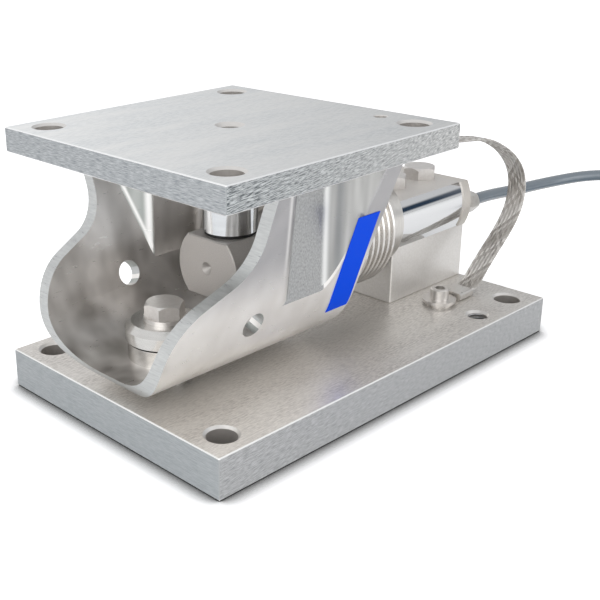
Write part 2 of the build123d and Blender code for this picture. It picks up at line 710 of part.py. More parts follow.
with BuildPart() as gland_nut:
    with BuildSketch(gland_seat.offset(nut_offset)):
        RegularPolygon(gland_nut_across_flats / 2, 6, major_radius=False, rotation=gland_nut_turn)
    extrude(amount=gland_nut_length)
    with BuildSketch(gland_seat.offset(nut_offset)):
        Circle(gland_nut_across_flats / 2 + gland_nut_length - gland_nut_bevel / 2)
    extrude(amount=gland_nut_length, taper=45, mode=Mode.INTERSECT)
    with BuildSketch(gland_seat.offset(nut_offset)):
        Circle(gland_neck_diameter / 2 + thread_clearance)
    extrude(amount=gland_thread_length, mode=Mode.SUBTRACT)
    with BuildSketch(gland_seat.offset(nut_offset)):
        Circle(cable_radius + gland_cable_fit)
    extrude(amount=gland_nut_length, mode=Mode.SUBTRACT)
save(gland_nut, "gland_nut")

# Signal cable from the gland's neck down to the first turn of the coil
cable_corners = [
    (gland_neck_end_x, gland_y, gland_z),
    (150, gland_y, gland_z),
    (182, -17.5, 59),
    (214, -21, 58.2),
    (246, -29.5, 58.2),
    (272, -37, 55),
    (296, coil_start_y, 33),
    (317, coil_start_y, 13),
    (coil_centre_x, coil_start_y, coil_top_level),
]
cable_radii = bend_radii(cable_corners)
with BuildPart() as signal_cable:
    with BuildLine() as cable_route:
        FilletPolyline(cable_corners, radius=cable_radii)
    with BuildSketch(Plane(cable_corners[0], z_dir=Vector(*cable_corners[1]) - Vector(*cable_corners[0]))):
        Circle(cable_radius)
    sweep()
save(signal_cable, "signal_cable")

# Coil of the length that is put away, flat on the surface that the base plate stands on
with BuildPart() as cable_coil:
    with BuildSketch(Plane((coil_centre_x, coil_centre_y, 0))):
        Circle(coil_mean_radius + coil_width / 2)
        Circle(coil_mean_radius - coil_width / 2, mode=Mode.SUBTRACT)
    extrude(amount=coil_layers * cable_diameter)
    fillet(cable_coil.edges(), coil_edge_radius)
save(cable_coil, "cable_coil")

# Stripped end, which leaves the lowest turn and lies on the same surface
end_corners = [
    (314, -45, cable_radius),
    (coil_centre_x, coil_start_y + cable_diameter, cable_radius),
    (378, -34, cable_radius),
]
end_radii = bend_radii(end_corners)
end_direction = Vector(*end_corners[-1]) - Vector(*end_corners[-2])
with BuildPart() as cable_end:
    with BuildLine() as end_route:
        FilletPolyline(end_corners, radius=end_radii)
    with BuildSketch(Plane(end_corners[0], z_dir=Vector(*end_corners[1]) - Vector(*end_corners[0]))):
        Circle(cable_radius)
    sweep()
save(cable_end, "cable_end")

# Bare leads that fan out of the stripped end
with BuildPart() as cable_leads:
    for lead in range(lead_count):
        place = lead - (lead_count - 1) / 2
        aim = end_direction.rotate(Axis.Z, place * lead_fan)
        aside = end_direction.normalized().cross(Vector(0, 0, 1)) * place * (lead_diameter + lead_gap)
        with BuildSketch(Plane(Vector(*end_corners[-1]) - aside, z_dir=end_direction)) as lead_foot:
            Circle(lead_diameter / 2)
        extrude(amount=lead_length, dir=aim.normalized())
save(cable_leads, "cable_leads")

print("cable radii", [round(radius, 1) for radius in cable_radii])
print("stripped end radii", [round(radius, 1) for radius in end_radii])
print("strap radii", [round(radius, 1) for radius in bend_radii(strap_corners)])
for name, piece, route in (("cable", signal_cable, cable_route), ("end", cable_end, end_route)):
    length = sum(edge.length for edge in route.edges())
    ratio = piece.part.volume / (math.pi * cable_radius**2 * length)
    print(name, "length", round(length, 1), "volume ratio", round(ratio, 4))
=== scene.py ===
"""Weighing module: finishes for the solid parts, a woven ground strap, the signal cable and the stage."""

import math

import bpy
from mathutils import Matrix, Vector


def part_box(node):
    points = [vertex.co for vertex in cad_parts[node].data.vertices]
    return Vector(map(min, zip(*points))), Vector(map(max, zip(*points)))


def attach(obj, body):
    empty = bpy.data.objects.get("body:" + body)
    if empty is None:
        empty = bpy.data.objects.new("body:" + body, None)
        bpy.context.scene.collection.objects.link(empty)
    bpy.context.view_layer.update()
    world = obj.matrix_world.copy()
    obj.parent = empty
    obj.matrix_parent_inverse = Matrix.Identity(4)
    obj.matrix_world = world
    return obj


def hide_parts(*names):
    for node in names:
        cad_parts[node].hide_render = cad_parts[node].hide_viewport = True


bl_info = {
    "name": "Weighing Module",
    "version": (1, 0, 0),
    "blender": (4, 5, 0),
    "location": "View3D > Sidebar > Weighing Module",
    "description": "Dresses a stainless weighing module with its finishes, strap, cable and stage",
    "category": "Object",
}

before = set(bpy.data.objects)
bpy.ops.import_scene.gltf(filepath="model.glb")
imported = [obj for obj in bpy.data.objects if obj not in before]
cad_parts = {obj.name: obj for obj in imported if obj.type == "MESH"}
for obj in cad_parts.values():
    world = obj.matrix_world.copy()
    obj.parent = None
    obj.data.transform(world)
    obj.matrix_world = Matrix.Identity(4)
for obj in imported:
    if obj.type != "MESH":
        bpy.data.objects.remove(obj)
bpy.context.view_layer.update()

MM_PER_METRE = 1000

# Route of the signal cable from the gland to the coil, and from the coil to the stripped end
CABLE_START = [
    (0.1315, -0.017, 0.062),
    (0.150, -0.017, 0.062),
    (0.182, -0.0175, 0.059),
    (0.214, -0.021, 0.0582),
    (0.246, -0.0295, 0.0582),
    (0.272, -0.037, 0.055),
    (0.296, -0.0395, 0.033),
    (0.317, -0.0395, 0.013),
]
CABLE_END = [
    (0.361, -0.0325, 0.0035),
    (0.378, -0.034, 0.0035),
]

# The coil: its middle, the radius of its outer turns, the turns in each of its two layers, the control points
# in a turn, and the parts of a turn where it starts to move inwards or outwards, and that this move takes
COIL_CENTRE = Vector((0.343, -0.0995, 0))
COIL_RADIUS = 0.060
COIL_TURNS = 5
COIL_STEPS = 16
MOVE_IN_FROM = 0.8
MOVE_OUT_FROM = 0.6
MOVE_SHARE = 0.2

# Route of the ground strap from barrel to barrel, at one Y
STRAP_Y = -0.039
STRAP_ROUTE = [
    (0.0285, 0.1187),
    (0.0415, 0.1187),
    (0.074, 0.1115),
    (0.105, 0.1085),
    (0.130, 0.0975),
    (0.1455, 0.083),
    (0.1485, 0.0675),
    (0.141, 0.0525),
    (0.118, 0.0345),
    (0.1055, 0.0223),
    (0.0985, 0.0223),
    (0.0885, 0.0223),
]

# Lowest point of the thread in the base plate's jacking hole
JACK_HOLE_FOOT = (0.078, -0.063, 0.0018)

# The plates: how far their broken edges reach in, how near a point on an outer face lies to it, and the two
# tones of a drilled wall and its countersink, which is painted lighter as a painted highlight
RIM_REACH = 0.0007
FACE_NEAR = 0.0001
BORE_AND_LIT_COUNTERSINK = ("#BFBBB7", "#DAD8D5")

# Where the cell's clamped end starts, along X
CLAMP_START = 0.05

# The yoke's plain wall, outside: its distance from the middle plane at the floor, and its growth with height
WALL_FOOT = 0.02727
WALL_SLOPE = 0.3443
# A bay lies this deep behind that wall, from this height up, and a wall's upper part, with its painted
# reflection outside and painted light inside, starts between these
BAY_DEPTH = 0.0008
BAY_BOTTOM = 0.056
PAINTED_WALL_TOP = (0.062, 0.092)

# The camera: what it looks at, from which side, how high and how far, and its roll, in metres and radians
CAMERA_TARGET = Vector((-0.0440237, 0.0319409, 0.04581))
CAMERA_AZIMUTH = -0.72729
CAMERA_ELEVATION = 0.36384
CAMERA_DISTANCE = 0.52541
CAMERA_ROLL = -0.020899
# Its lens in pixels of a square picture, and the pixel that it looks straight at
PICTURE_PIXELS = 600
FOCAL_PIXELS = 1015.2686
AXIS_PIXEL = (189.02, 282.32)
SENSOR_MM = 36.0

# The floor reaches this far each way, and lies this far below the object, so that no faces coincide
FLOOR_REACH = 4.0
FLOOR_GAP = 0.0003
# Colour of the paper to the camera: above 1, so that a lit floor is pure white
PAPER_SHOWN = (1.45, 1.45, 1.45, 1)

# The world's light by height, from the horizon at 0 to overhead at 1, and the heights of a dark flag low down
SKY_STOPS = ((0.0, "#FFFFFF"), (0.3, "#F9F9FA"), (1.0, "#E7E7E8"))
FLAG_STOPS = ((0.03, "#000000"), (0.07, "#FFFFFF"), (0.15, "#FFFFFF"), (0.2, "#000000"))

# Square softboxes: name, place, side in metres and power in watts, and the point that they all face
SOFTBOXES = (
    ("key_softbox", (-1.2, -0.3, 0.6), 1.0, 5.0),
    ("side_softbox", (0.6, -1.3, 0.5), 1.0, 4.0),
    ("front_softbox", (-0.9, -1.1, 0.25), 0.8, 3.0),
)
LIT_POINT = Vector((0, 0, 0.05))

# The flat braid's sums, one a row: result, operation and terms. Each wire has an index, runs along the route,
# turns round the flat tube one way or the other, and weaves over and under the bundles that cross it
BRAID_SUMS = (
    ("odd", "MODULO", "index", 2.0),
    ("way", "MULTIPLY_ADD", "odd", 2.0, -1.0),
    ("both_ways", "MULTIPLY", "Wires", 2.0),
    ("bundle", "DIVIDE", "index", "both_ways"),
    ("bundle", "FLOOR", "bundle"),
    ("wire", "DIVIDE", "index", 2.0),
    ("wire", "FLOOR", "wire"),
    ("wire", "MODULO", "wire", "Wires"),
    ("middle", "MULTIPLY_ADD", "Wires", 0.5, -0.5),
    ("spread", "SUBTRACT", "wire", "middle"),
    ("room", "MULTIPLY", "Wires", 1.08),
    ("spread", "DIVIDE", "spread", "room"),
    ("start", "ADD", "bundle", "spread"),
    ("start", "DIVIDE", "start", "Carriers"),
    ("turns", "MULTIPLY", "way", "Turns"),
    ("turn", "MULTIPLY_ADD", "turns", "along", "start"),
    ("angle", "MULTIPLY", "turn", 2 * math.pi),
    ("cosine", "COSINE", "angle"),
    ("across", "ARCCOSINE", "cosine"),
    ("across", "MULTIPLY_ADD", "across", 2 / math.pi, -1.0),
    ("inset", "MULTIPLY", "Wire Radius", 1.5),
    ("edge", "MULTIPLY", "Width", 0.5),
    ("edge", "SUBTRACT", "edge", "inset"),
    ("across", "MULTIPLY", "across", "edge"),
    ("side", "SINE", "angle"),
    ("side", "MULTIPLY", "side", 2.2),
    ("side", "MAXIMUM", "side", -1.0),
    ("side", "MINIMUM", "side", 1.0),
    ("weave", "MULTIPLY", "angle", "Carriers"),
    ("weave", "COSINE", "weave"),
    ("weave", "MULTIPLY", "weave", "way"),
    ("wire_width", "MULTIPLY", "Wire Radius", 2.0),
    ("rise", "MULTIPLY", "Thickness", 0.5),
    ("rise", "SUBTRACT", "rise", "wire_width"),
    ("height", "MULTIPLY_ADD", "weave", "Wire Radius", "rise"),
    ("height", "MULTIPLY", "side", "height"),
    ("family", "MULTIPLY_ADD", "bundle", 4.0, "way"),
)


def linear(hex_code):
    """Turns an sRGB hex colour into the linear colour that shaders use."""
    channels = []
    for start in (1, 3, 5):
        value = int(hex_code[start : start + 2], 16) / 255
        channels.append(value / 12.92 if value <= 0.04045 else ((value + 0.055) / 1.055) ** 2.4)
    return (*channels, 1.0)


def node(tree, kind, inputs=None, **settings):
    """Adds one node with its settings, and sets or links its inputs. A hex code stands for a colour."""
    made = tree.nodes.new(kind)
    for name, value in settings.items():
        setattr(made, name, value)
    for key, value in (inputs or {}).items():
        if isinstance(value, bpy.types.NodeSocket):
            tree.links.new(value, made.inputs[key])
        elif isinstance(value, str) and value.startswith("#"):
            made.inputs[key].default_value = linear(value)
        else:
            made.inputs[key].default_value = value
    return made


def new_material(name, roughness, metallic):
    """A material with one principled shader, and the tree and shader that finish it."""
    material = bpy.data.materials.new(name)
    material.use_nodes = True
    shader = material.node_tree.nodes["Principled BSDF"]
    shader.inputs["Roughness"].default_value = roughness
    shader.inputs["Metallic"].default_value = metallic
    return material, material.node_tree, shader


def grain(tree, sizes_mm, detail=3.0, spread=0.2, tilt=0.0):
    """Noise from 0 to 1, its grain as long along X, Y and Z as the sizes say, tilted about Y."""
    turned = {
        "Vector": node(tree, "ShaderNodeTexCoord").outputs["Object"],
        "Scale": [size / MM_PER_METRE for size in sizes_mm],
        "Rotation": (0, tilt, 0),
    }
    turned = node(tree, "ShaderNodeMapping", turned, vector_type="TEXTURE")
    noise = {
        "Vector": turned.outputs["Vector"],
        "Scale": 1.0,
        "Detail": detail,
        "Roughness": 0.65,
    }
    noise = node(tree, "ShaderNodeTexNoise", noise)
    limits = {"Value": noise.outputs["Fac"], "From Min": 0.5 - spread, "From Max": 0.5 + spread}
    return node(tree, "ShaderNodeMapRange", limits).outputs["Result"]


def stripe(tree, value, middle, reach, strength):
    """A soft stripe: at its full strength where the value is at the middle, and gone at the half width."""
    off = node(tree, "ShaderNodeMath", {0: value, 1: middle}, operation="SUBTRACT").outputs[0]
    off = node(tree, "ShaderNodeMath", {0: off}, operation="ABSOLUTE").outputs[0]
    soft = {"Value": off, "From Max": reach, "To Min": strength, "To Max": 0.0}
    return node(tree, "ShaderNodeMapRange", soft, interpolation_type="SMOOTHSTEP").outputs["Result"]


def finish_shader(tree, shader, colour, rough=None, height=None, depth_mm=0.01):
    """Links a colour, a roughness and a relief to a shader."""
    tree.links.new(colour, shader.inputs["Base Color"])
    if rough is not None:
        tree.links.new(rough, shader.inputs["Roughness"])
    if height is not None:
        relief = {"Height": height, "Strength": 0.25, "Distance": depth_mm / MM_PER_METRE}
        relief = node(tree, "ShaderNodeBump", relief)
        tree.links.new(relief.outputs["Normal"], shader.inputs["Normal"])


def ground_plate(name, box, face, shade, ends, sides, far_sides, rim_highlight, corner, depth_mm):
    """Stainless steel plate: ground faces, finely cut ends, a coarser cut on the long sides, broken edges.
    The scratches of the cut scatter light, so it looks satin with pale and dark streaks along the cut.
    Real scratches are some hundredths of a millimetre wide, so they are drawn ten or more times as coarse."""
    material, tree, shader = new_material(name, roughness=0.4, metallic=0.72)
    low, high = (Vector(corner_place) for corner_place in box)
    place = node(tree, "ShaderNodeTexCoord")
    way = node(tree, "ShaderNodeSeparateXYZ", {0: place.outputs["Normal"]}).outputs
    flat = node(tree, "ShaderNodeMath", {0: way["Z"]}, operation="ABSOLUTE").outputs[0]
    level, leaning = (
        node(tree, "ShaderNodeMath", {0: flat, 1: least}, operation="GREATER_THAN").outputs[0]
        for least in (0.95, 0.3)
    )
    # How far a point is past the ends and sides: below zero within them, and zero on them
    past = {0: place.outputs["Object"], 1: (low + high) / 2}
    past = node(tree, "ShaderNodeVectorMath", past, operation="SUBTRACT").outputs[0]
    past = node(tree, "ShaderNodeVectorMath", {0: past}, operation="ABSOLUTE").outputs[0]
    past = {0: past, 1: (high - low) / 2}
    past = node(tree, "ShaderNodeVectorMath", past, operation="SUBTRACT").outputs[0]
    past = node(tree, "ShaderNodeSeparateXYZ", {0: past}).outputs
    nearest = {0: past["X"], 1: past["Y"]}
    nearest = node(tree, "ShaderNodeMath", nearest, operation="MAXIMUM").outputs[0]
    end, side, outer = (
        node(tree, "ShaderNodeMath", {0: value, 1: -reach}, operation="GREATER_THAN").outputs[0]
        for value, reach in ((past["X"], FACE_NEAR), (past["Y"], FACE_NEAR), (nearest, RIM_REACH))
    )

    fine = grain(tree, (3.4, 0.8, 0.8), 3.0, 0.13)
    broad = grain(tree, (60.0, 14.0, 14.0), 2.0, 0.15)
    strokes = grain(tree, (0.6, 4.5, 0.42), 4.0, 0.16)
    cuts = grain(tree, (4.2, 1.0, 0.45), 4.0, 0.1, -0.1)
    fine_cuts = grain(tree, (2.4, 1.0, 0.5), 3.0, 0.12, -0.3)
    where = node(tree, "ShaderNodeSeparateXYZ", {0: place.outputs["Object"]}).outputs
    along = {"Value": where["X"], "From Min": low.x, "From Max": high.x}
    along = node(tree, "ShaderNodeMapRange", along).outputs["Result"]
    # Painted reflection: ground faces are painted darker towards the right corner, where they mirror a darker
    # part of the room, and brighten to the left one
    painted_reflection_slant = {0: where["Y"], 1: where["X"]}
    painted_reflection_slant = node(tree, "ShaderNodeMath", painted_reflection_slant, operation="SUBTRACT").outputs[0]
    painted_reflection_slant = {"Value": painted_reflection_slant, "From Min": low.y - high.x, "From Max": high.y - low.x}
    painted_reflection_slant = node(tree, "ShaderNodeMapRange", painted_reflection_slant).outputs["Result"]
    patchy = node(tree, "ShaderNodeMath", {0: broad, 1: 0.6}, operation="MULTIPLY").outputs[0]

    # Painted highlight: the leaning faces of the broken edges take the bright rim tone
    ground, painted_reflection_tint, sawn_end, sawn_side, far_side, broken, colour = (
        node(tree, "ShaderNodeMix", {0: part, 6: one, 7: other}, data_type="RGBA").outputs[2]
        for part, (one, other) in (
            (fine, face[:2]),
            (painted_reflection_slant, (shade, "#FFFFFF")),
            (strokes, ends),
            (cuts, sides),
            (fine_cuts, far_sides),
            (leaning, (corner, rim_highlight)),
            # Painted highlight: countersinks lighter than the drilled walls
            (leaning, BORE_AND_LIT_COUNTERSINK),
        )
    )
    ground = node(tree, "ShaderNodeMix", {0: patchy, 6: ground, 7: face[2]}, data_type="RGBA").outputs[2]
    ground = {0: 1.0, 6: ground, 7: painted_reflection_tint}
    ground = node(tree, "ShaderNodeMix", ground, data_type="RGBA", blend_type="MULTIPLY").outputs[2]
    sawn_side = {0: along, 6: sawn_side, 7: far_side}
    sawn_side = node(tree, "ShaderNodeMix", sawn_side, data_type="RGBA").outputs[2]
    for mask, over in ((outer, broken), (level, ground), (end, sawn_end), (side, sawn_side)):
        colour = node(tree, "ShaderNodeMix", {0: mask, 6: colour, 7: over}, data_type="RGBA").outputs[2]
    rough = node(tree, "ShaderNodeMix", {0: fine, 2: 0.34, 3: 0.46}, data_type="FLOAT").outputs[0]
    marks = node(tree, "ShaderNodeMath", {0: cuts, 1: side}, operation="MULTIPLY").outputs[0]
    finish_shader(tree, shader, colour, rough, marks, depth_mm)
    return material


def yoke_sheet():
    """Stainless sheet, pressed cold: softly brushed outside, duller inside, grainy where the press stretched.
    The rolled skin is smooth, so it shows broad soft reflections, and the cut edges look plain and darker.
    Brush lines and grain are really a tenth of a millimetre or less, and are drawn ten times as coarse."""
    material, tree, shader = new_material("pressed_stainless_sheet", roughness=0.32, metallic=0.78)
    place = node(tree, "ShaderNodeTexCoord")
    where = node(tree, "ShaderNodeSeparateXYZ", {0: place.outputs["Object"]}).outputs
    way = node(tree, "ShaderNodeSeparateXYZ", {0: place.outputs["Normal"]}).outputs
    # Inside are the faces that look at the middle plane, and those that look up
    inward = node(tree, "ShaderNodeMath", {0: where["Y"], 1: way["Y"]}, operation="MULTIPLY").outputs[0]
    inward = node(tree, "ShaderNodeMath", {0: inward, 1: -0.0005}, operation="LESS_THAN").outputs[0]
    upward = node(tree, "ShaderNodeMath", {0: way["Z"], 1: 0.6}, operation="GREATER_THAN").outputs[0]
    inside = node(tree, "ShaderNodeMath", {0: inward, 1: upward}, operation="MAXIMUM").outputs[0]
    aside, ahead, depth = (
        node(tree, "ShaderNodeMath", {0: value}, operation="ABSOLUTE").outputs[0]
        for value in (way["Y"], way["X"], where["Y"])
    )
    # The press stretched what hangs plumb, and the sheared edges face along the yoke
    stretched = node(tree, "ShaderNodeMath", {0: aside, 1: 0.985}, operation="GREATER_THAN").outputs[0]
    level = node(tree, "ShaderNodeMath", {0: aside, 1: 0.1}, operation="LESS_THAN").outputs[0]
    cut = node(tree, "ShaderNodeMath", {0: ahead, 1: 0.28}, operation="GREATER_THAN").outputs[0]
    cut = node(tree, "ShaderNodeMath", {0: cut, 1: level}, operation="MULTIPLY").outputs[0]
    # How deep a point lies behind the plain wall
    wall = {0: where["Z"], 1: WALL_SLOPE, 2: WALL_FOOT}
    wall = node(tree, "ShaderNodeMath", wall, operation="MULTIPLY_ADD").outputs[0]
    depth = node(tree, "ShaderNodeMath", {0: wall, 1: depth}, operation="SUBTRACT").outputs[0]
    deep = node(tree, "ShaderNodeMath", {0: depth, 1: BAY_DEPTH}, operation="GREATER_THAN").outputs[0]
    high = node(tree, "ShaderNodeMath", {0: where["Z"], 1: BAY_BOTTOM}, operation="GREATER_THAN").outputs[0]
    pressed = node(tree, "ShaderNodeMath", {0: deep, 1: high}, operation="MULTIPLY").outputs[0]
    # Height mask of the walls' painted upper parts
    painted_upper_part = {"Value": where["Z"], "From Min": PAINTED_WALL_TOP[0], "From Max": PAINTED_WALL_TOP[1]}
    painted_upper_part = node(tree, "ShaderNodeMapRange", painted_upper_part, interpolation_type="SMOOTHSTEP").outputs["Result"]
    stretched, pressed, painted_outer_upper_part = (
        node(tree, "ShaderNodeMath", {0: value, 1: inside}, operation="SUBTRACT", use_clamp=True).outputs[0]
        for value in (stretched, pressed, painted_upper_part)
    )

    brushed = grain(tree, (8.0, 8.0, 0.8), 2.0, 0.25)
    cloudy = grain(tree, (22.0, 22.0, 36.0), 2.0, 0.16)
    sandy = grain(tree, (0.8, 0.8, 1.2), 2.0, 0.16)
    banded = grain(tree, (5.0, 5.0, 60.0), 1.0, 0.2)
    # Painted reflection and light: the walls' upper parts are painted darker outside than the folded lower
    # ones, as a reflection of the load plate's dark underside, and painted brighter inside, where the lower
    # ones stand in painted shade
    outer, painted_dark_outer_top, inner, painted_lit_inner_top, flank, drawn, grainy, sheared = (
        node(tree, "ShaderNodeMix", {0: part, 6: one, 7: other}, data_type="RGBA").outputs[2]
        for part, one, other in (
            (cloudy, "#FFFDFA", "#F1EEEA"),
            (cloudy, "#B3B2B3", "#A5A4A6"),
            (cloudy, "#E8E4E0", "#A6A19C"),
            (cloudy, "#FAF6F3", "#DAD6D2"),
            (banded, "#A3A7A4", "#B9BCB9"),
            (banded, "#949493", "#BFBFBD"),
            (sandy, "#979898", "#B7B8B8"),
            (brushed, "#B9BBBB", "#D0D2D1"),
        )
    )
    # The bay's front flank is duller inside, with painted highlights along the folds at its edges: middle and
    # half width of each
    for value, middle, reach in ((depth, 0.0082, 0.0013), (where["X"], -0.0600, 0.0022)):
        fold_highlight = stripe(tree, value, middle, reach, strength=0.9)
        flank = node(tree, "ShaderNodeMix", {0: fold_highlight, 6: flank, 7: "#FFFEFC"}, data_type="RGBA").outputs[2]
    forward = node(tree, "ShaderNodeMath", {0: way["X"], 1: -0.4}, operation="LESS_THAN").outputs[0]
    for mask, over in ((painted_upper_part, painted_lit_inner_top), (forward, flank)):
        inner = node(tree, "ShaderNodeMix", {0: mask, 6: inner, 7: over}, data_type="RGBA").outputs[2]
    colour = outer
    for mask, over in ((painted_upper_part, painted_dark_outer_top), (inside, inner), (pressed, drawn), (stretched, grainy)):
        colour = node(tree, "ShaderNodeMix", {0: mask, 6: colour, 7: over}, data_type="RGBA").outputs[2]
    # Painted highlights down each bay's edges, and a painted dark reflection beside the rear one: middle
    # along X, its move per height, half width, strength, tone and mask
    for middle, lean, reach, strength, tone, shown in (
        (-0.0421, 0.286, 0.0018, 0.7, "#EFEEEC", painted_outer_upper_part),
        (-0.0315, 0.0, 0.0028, 0.85, "#F1F2F0", pressed),
        (-0.0255, 0.0, 0.0026, 0.6, "#85888A", pressed),
    ):
        across = {0: where["Z"], 1: lean, 2: where["X"]}
        across = node(tree, "ShaderNodeMath", across, operation="MULTIPLY_ADD").outputs[0]
        painted_light_band = stripe(tree, across, middle, reach, strength)
        painted_light_band = node(tree, "ShaderNodeMath", {0: painted_light_band, 1: shown}, operation="MULTIPLY").outputs[0]
        colour = node(tree, "ShaderNodeMix", {0: painted_light_band, 6: colour, 7: tone}, data_type="RGBA").outputs[2]
    colour = node(tree, "ShaderNodeMix", {0: cut, 6: colour, 7: sheared}, data_type="RGBA").outputs[2]
    rough = node(tree, "ShaderNodeMix", {0: brushed, 2: 0.26, 3: 0.38}, data_type="FLOAT").outputs[0]
    finish_shader(tree, shader, colour, rough)
    return material


def satin_steel(name, tones, roughness, grain_mm, metallic=1.0, depth_mm=0.002):
    """Metal turned, milled, drawn or plated, then polished: fine tool marks that spread its highlights.
    Real marks are some hundredths of a millimetre apart, so they are drawn as coarse as they need to show."""
    material, tree, shader = new_material(name, roughness, metallic)
    marks = grain(tree, grain_mm, 1.0, 0.3)
    tone = node(tree, "ShaderNodeMix", {0: marks, 6: tones[0], 7: tones[1]}, data_type="RGBA").outputs[2]
    rough = {0: marks, 2: roughness * 0.95, 3: roughness * 1.1}
    rough = node(tree, "ShaderNodeMix", rough, data_type="FLOAT").outputs[0]
    finish_shader(tree, shader, tone, rough, marks, depth_mm)
    return material


def cell_bar():
    """The cell's bar: blasted matt all over, but for the mirror of its round sides where the bolts clamp it.
    Blasting leaves pits of about a twentieth of a millimetre, which are drawn ten times as coarse to show."""
    material, tree, shader = new_material("blasted_and_polished_bar", roughness=0.5, metallic=0.85)
    place = node(tree, "ShaderNodeTexCoord")
    way = node(tree, "ShaderNodeSeparateXYZ", {0: place.outputs["Normal"]}).outputs
    flat = node(tree, "ShaderNodeMath", {0: way["Z"]}, operation="ABSOLUTE").outputs[0]
    round_side = node(tree, "ShaderNodeMath", {0: flat, 1: 0.99}, operation="LESS_THAN").outputs[0]
    where = node(tree, "ShaderNodeSeparateXYZ", {0: place.outputs["Object"]}).outputs
    clamped = {0: where["X"], 1: CLAMP_START}
    clamped = node(tree, "ShaderNodeMath", clamped, operation="GREATER_THAN").outputs[0]
    mirror = node(tree, "ShaderNodeMath", {0: clamped, 1: round_side}, operation="MULTIPLY").outputs[0]
    blasted = grain(tree, (0.5, 0.5, 0.5), 2.0)
    colour, shoulder = (
        node(tree, "ShaderNodeMix", {0: blasted, 6: one, 7: other}, data_type="RGBA").outputs[2]
        for one, other in (("#ADA9A5", "#BDB9B5"), ("#CFCBC6", "#DCD9D5"))
    )
    for mask, over in ((clamped, shoulder), (mirror, "#E6E7E8")):
        colour = node(tree, "ShaderNodeMix", {0: mask, 6: colour, 7: over}, data_type="RGBA").outputs[2]
    rough, bright = (
        node(tree, "ShaderNodeMix", {0: mirror, 2: matt, 3: polished}, data_type="FLOAT").outputs[0]
        for matt, polished in ((0.5, 0.06), (0.55, 1.0))
    )
    tree.links.new(bright, shader.inputs["Metallic"])
    finish_shader(tree, shader, colour, rough)
    return material


def even_finish(name, tones, roughness):
    """Rubber or foil: no metal, nearly one colour, with the slight unevenness of its surface."""
    material, tree, shader = new_material(name, roughness, metallic=0.0)
    uneven = grain(tree, (0.4, 0.4, 0.4))
    tone = node(tree, "ShaderNodeMix", {0: uneven, 6: tones[0], 7: tones[1]}, data_type="RGBA").outputs[2]
    finish_shader(tree, shader, tone, None, uneven, depth_mm=0.005)
    return material


def dress(names, material):
    """Gives CAD pieces their finish."""
    for name in names:
        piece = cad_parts[name]
        piece.data.materials.clear()
        piece.data.materials.append(material)


def geometry_tree(name, inputs):
    """Starts a geometry tree that takes a curve and named inputs, each with its kind and default."""
    tree = bpy.data.node_groups.new(name, "GeometryNodeTree")
    tree.interface.new_socket("Mesh", in_out="OUTPUT", socket_type="NodeSocketGeometry")
    tree.interface.new_socket("Curve", in_out="INPUT", socket_type="NodeSocketGeometry")
    for label, kind, default in inputs:
        socket = tree.interface.new_socket(label, in_out="INPUT", socket_type="NodeSocket" + kind)
        socket.default_value = default
    return tree, node(tree, "NodeGroupInput").outputs


def close_tree(tree, mesh, material):
    """Ends a geometry tree: the mesh made real, in one material."""
    whole = node(tree, "GeometryNodeRealizeInstances", {0: mesh})
    dressed = {"Geometry": whole.outputs[0], "Material": material}
    dressed = node(tree, "GeometryNodeSetMaterial", dressed)
    node(tree, "NodeGroupOutput", {0: dressed.outputs[0]})


def tree_result(name, tree, values, base):
    """Runs a geometry tree on an object, and turns the result into a plain mesh piece."""
    modifier = base.modifiers.new(name, "NODES")
    modifier.node_group = tree
    for item in tree.interface.items_tree:
        if item.item_type == "SOCKET" and item.in_out == "INPUT" and item.name in values:
            modifier[item.identifier] = values[item.name]
    bpy.context.view_layer.update()
    evaluated = base.evaluated_get(bpy.context.evaluated_depsgraph_get())
    mesh = bpy.data.meshes.new_from_object(evaluated)
    base.modifiers.remove(modifier)
    piece = bpy.data.objects.new(name, mesh)
    bpy.context.scene.collection.objects.link(piece)
    bpy.data.objects.remove(base)
    return piece


